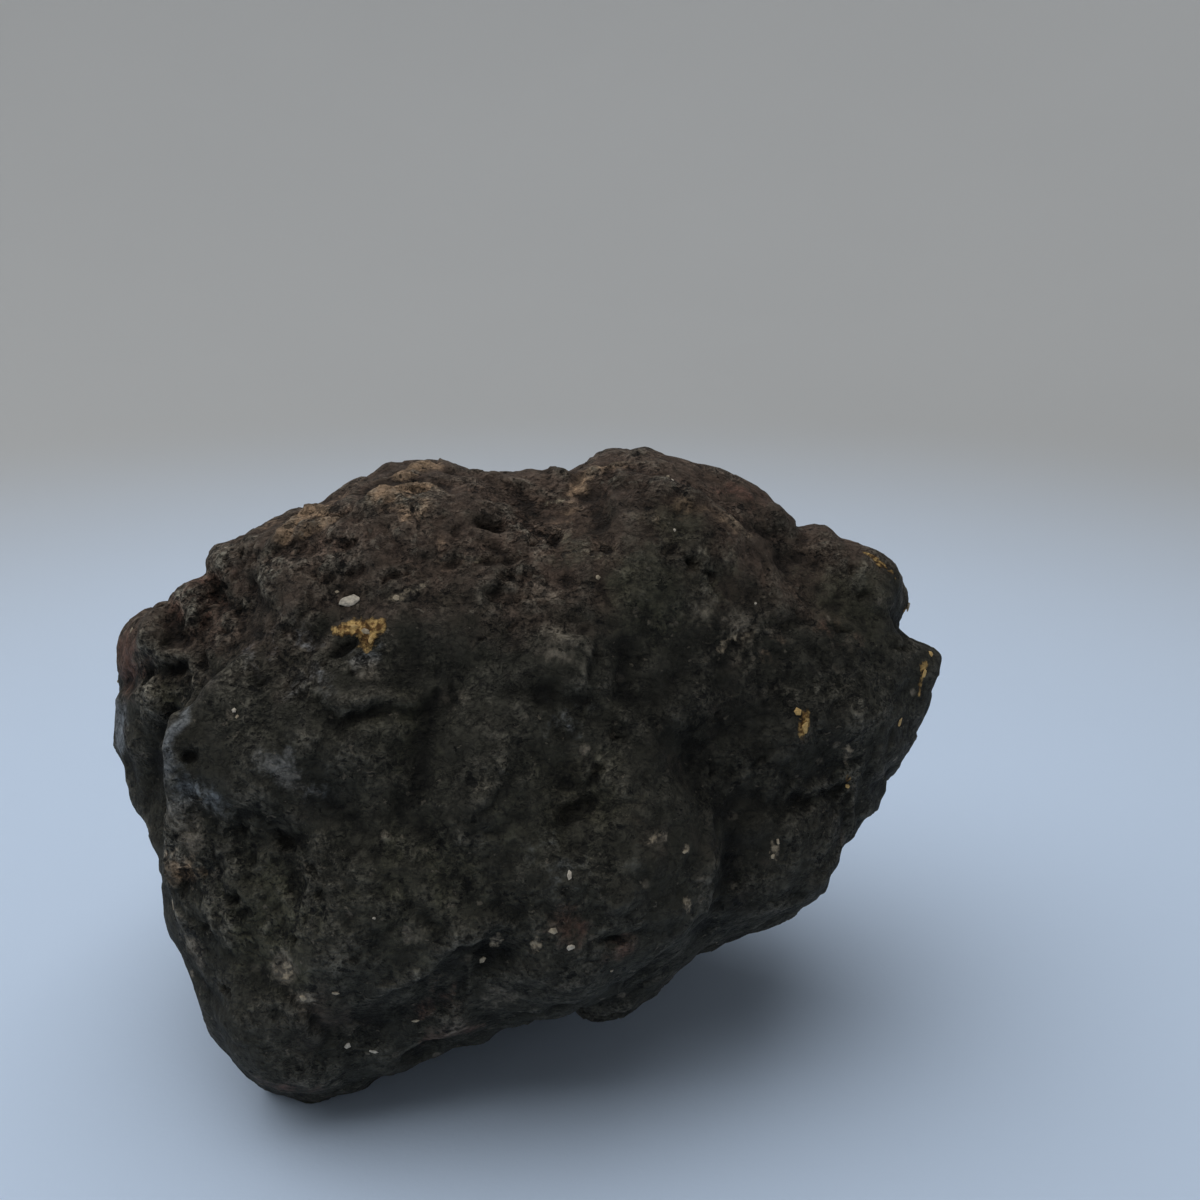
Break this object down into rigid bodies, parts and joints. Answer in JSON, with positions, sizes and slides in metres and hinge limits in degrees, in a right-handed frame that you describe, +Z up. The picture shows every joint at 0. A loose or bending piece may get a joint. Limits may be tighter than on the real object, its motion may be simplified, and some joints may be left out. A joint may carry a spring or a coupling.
{
  "type": "whole geode",
  "caption": "Whole, unbroken geode: a lumpy dark nodule of weathered volcanic rock with a pitted skin, worn flat where it rests.",
  "frame": {"origin": "on the surface the stone rests on, under the middle of its bounding box", "axes": "+Z up, +X to the right of someone who looks at the stone's front, along its longest way, -Y towards that person"},
  "size_m": [0.1008, 0.0808, 0.0722],
  "materials": {
    "rock": "rough, weathered"
  },
  "bodies": {
    "root": {"geode": "rock"}
  },
  "joints": []
}
